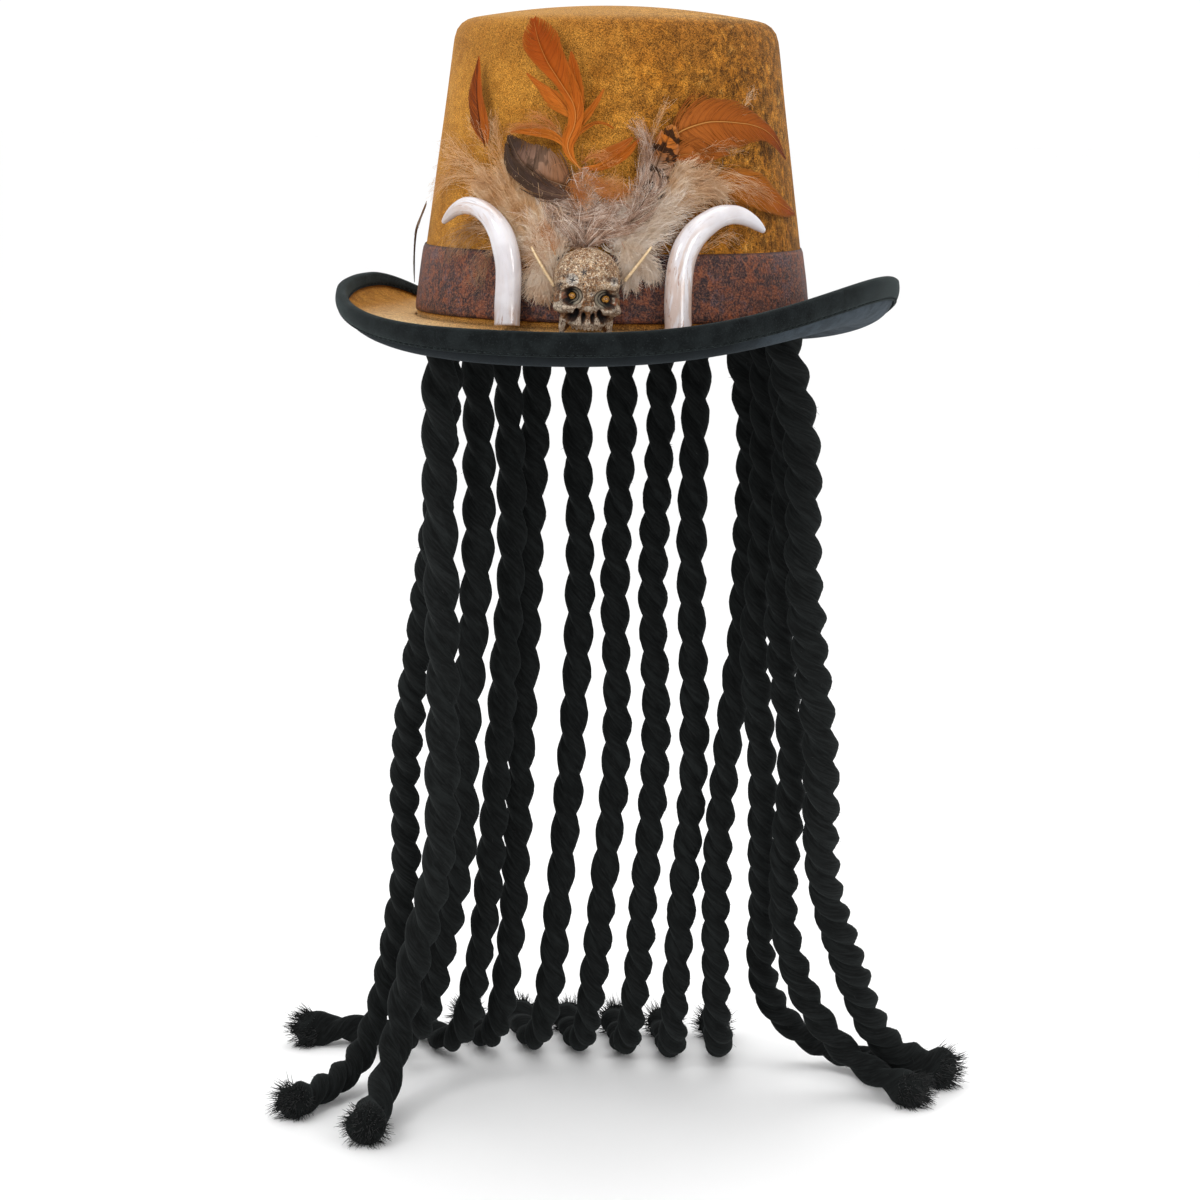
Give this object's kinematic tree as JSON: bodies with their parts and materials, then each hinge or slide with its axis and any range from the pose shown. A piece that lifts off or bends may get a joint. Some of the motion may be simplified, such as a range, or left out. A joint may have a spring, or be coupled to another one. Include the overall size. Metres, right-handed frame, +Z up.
{
  "type": "costume top hat",
  "caption": "Tapered velvet top hat with a curled brim, a band, a skull, two horns, feathers and long twisted locks hanging from inside the crown.",
  "frame": {"origin": "centre of the head opening, in the plane where the crown meets the brim", "axes": "+Z up along the crown, -Y towards the front with the skull, +X to the viewer's right when facing the front"},
  "size_m": [0.3783, 0.3518, 0.5915],
  "materials": {
    "gold_velvet": "matt speckled velvet",
    "black_felt": "matt felt",
    "black_velvet": "matt velvet",
    "brown_leatherette": "mottled, satin",
    "ivory_resin": "veined, gloss",
    "bone_resin": "stained, satin",
    "black_roving": "matt fibre",
    "quill_straw": "satin",
    "orange_feather": "soft barbs",
    "maroon_feather": "soft barbs",
    "brown_feather": "soft barbs",
    "tan_down": "loose down",
    "cream_down": "loose down"
  },
  "bodies": {
    "root": {"brim": "gold_velvet", "brim_binding": "black_velvet", "crown": "gold_velvet", "down_centre": "cream_down", "down_centre_left": "cream_down", "down_left": "tan_down", "down_right": "cream_down", "feather_barred_left": "brown_feather", "feather_barred_right": "brown_feather", "feather_brown_hanging": "brown_feather", "feather_maroon": "maroon_feather", "feather_orange_curl": "orange_feather", "feather_orange_low": "orange_feather", "feather_orange_tall": "orange_feather", "feather_orange_wide": "orange_feather", "hat_band": "brown_leatherette", "horn_left": "ivory_resin", "horn_right": "ivory_resin", "lock_back_1": "black_roving", "lock_back_2": "black_roving", "lock_back_3": "black_roving", "lock_back_4": "black_roving", "lock_back_5": "black_roving", "lock_left_1": "black_roving", "lock_left_2": "black_roving", "lock_left_3": "black_roving", "lock_left_4": "black_roving", "lock_right_1": "black_roving", "lock_right_2": "black_roving", "lock_right_3": "black_roving", "lock_right_4": "black_roving", "quill_left": "quill_straw", "quill_right": "quill_straw", "skull": "bone_resin", "underbrim": "black_felt"}
  },
  "joints": []
}
